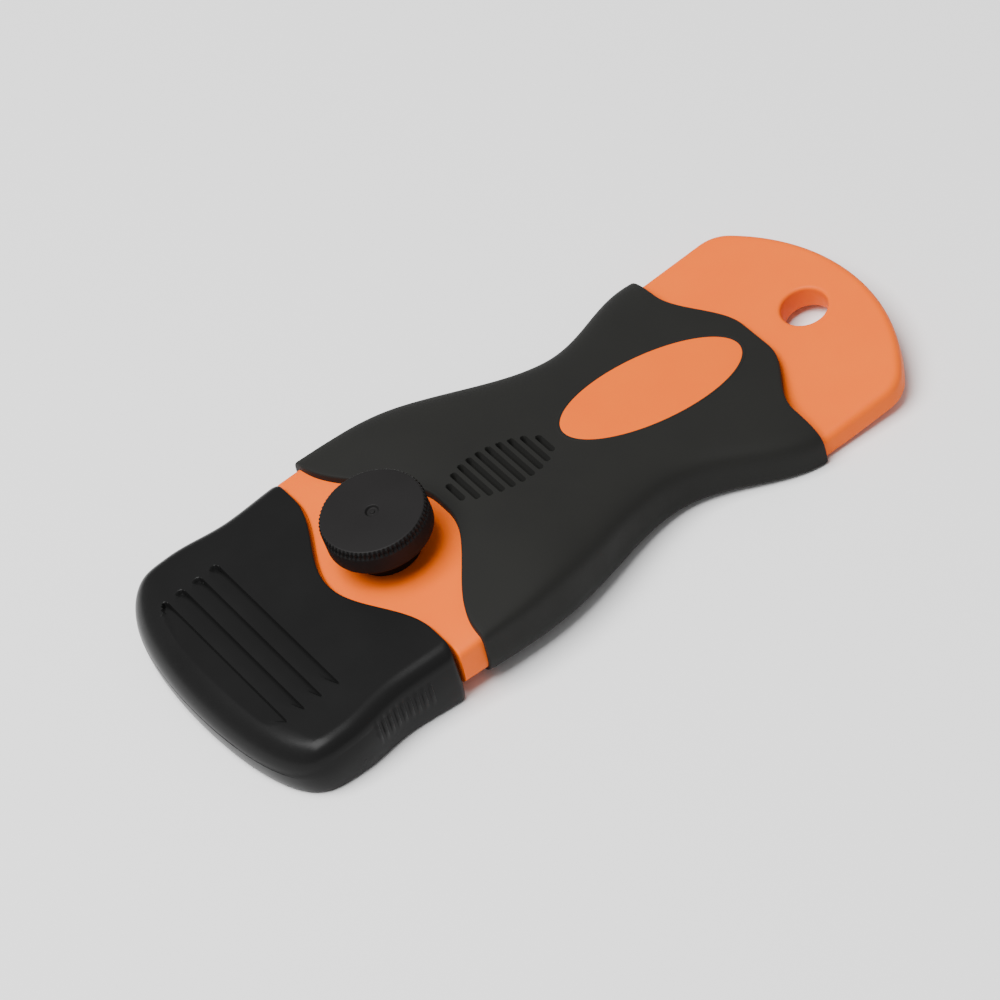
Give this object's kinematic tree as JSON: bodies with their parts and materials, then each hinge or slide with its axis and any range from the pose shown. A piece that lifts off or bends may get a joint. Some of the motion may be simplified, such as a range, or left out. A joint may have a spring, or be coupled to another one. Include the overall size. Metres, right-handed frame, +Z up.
{
  "type": "razor blade scraper",
  "caption": "Hand scraper for single-edge razor blades: waisted moulded handle with a soft overmoulded grip, a screw clamp with a knurled knob, a pull-off blade cap and a hanging hole.",
  "frame": {"origin": "middle of the footprint, on the table", "axes": "+X from the blade end to the tail, +Y to the left of that, +Z up, knob side up"},
  "size_m": [0.11, 0.0454, 0.0176],
  "materials": {
    "orange_abs": "moulded orange ABS, fine spark texture",
    "black_rubber": "soft overmoulded rubber, matte",
    "black_abs": "moulded black plastic, satin",
    "plated_steel": "zinc plated",
    "blade_steel": "ground and oiled",
    "spine_strip": "rolled strip"
  },
  "bodies": {
    "handle": {"handle_core": "orange_abs", "rubber_grip": "black_rubber", "razor_blade": "blade_steel", "blade_spine": "spine_strip"},
    "knob": {"clamp_knob": "black_abs", "clamp_stud": "plated_steel"},
    "jaw": {"clamp_jaw": "orange_abs", "hex_nut": "plated_steel"},
    "cap": {"blade_cap": "black_abs"}
  },
  "joints": [
    {"name": "cap_pull", "type": "slide", "parent": "handle", "child": "cap", "axis": [-1, 0, 0], "range_m": [0, 0.045]},
    {"name": "knob_turn", "type": "hinge", "parent": "handle", "child": "knob", "pos_m": [-0.0223, 0, 0.0091], "axis": [-0.0993, 0, 0.9951], "range_deg": [0, 450]},
    {"name": "jaw_open", "type": "slide", "parent": "handle", "child": "jaw", "axis": [0.0993, 0, -0.9951], "range_m": [0, 0.000875]}
  ],
  "couplings": [
    {"joint": "knob_turn", "follows": "jaw_open", "rad_per_m": 8976}
  ]
}
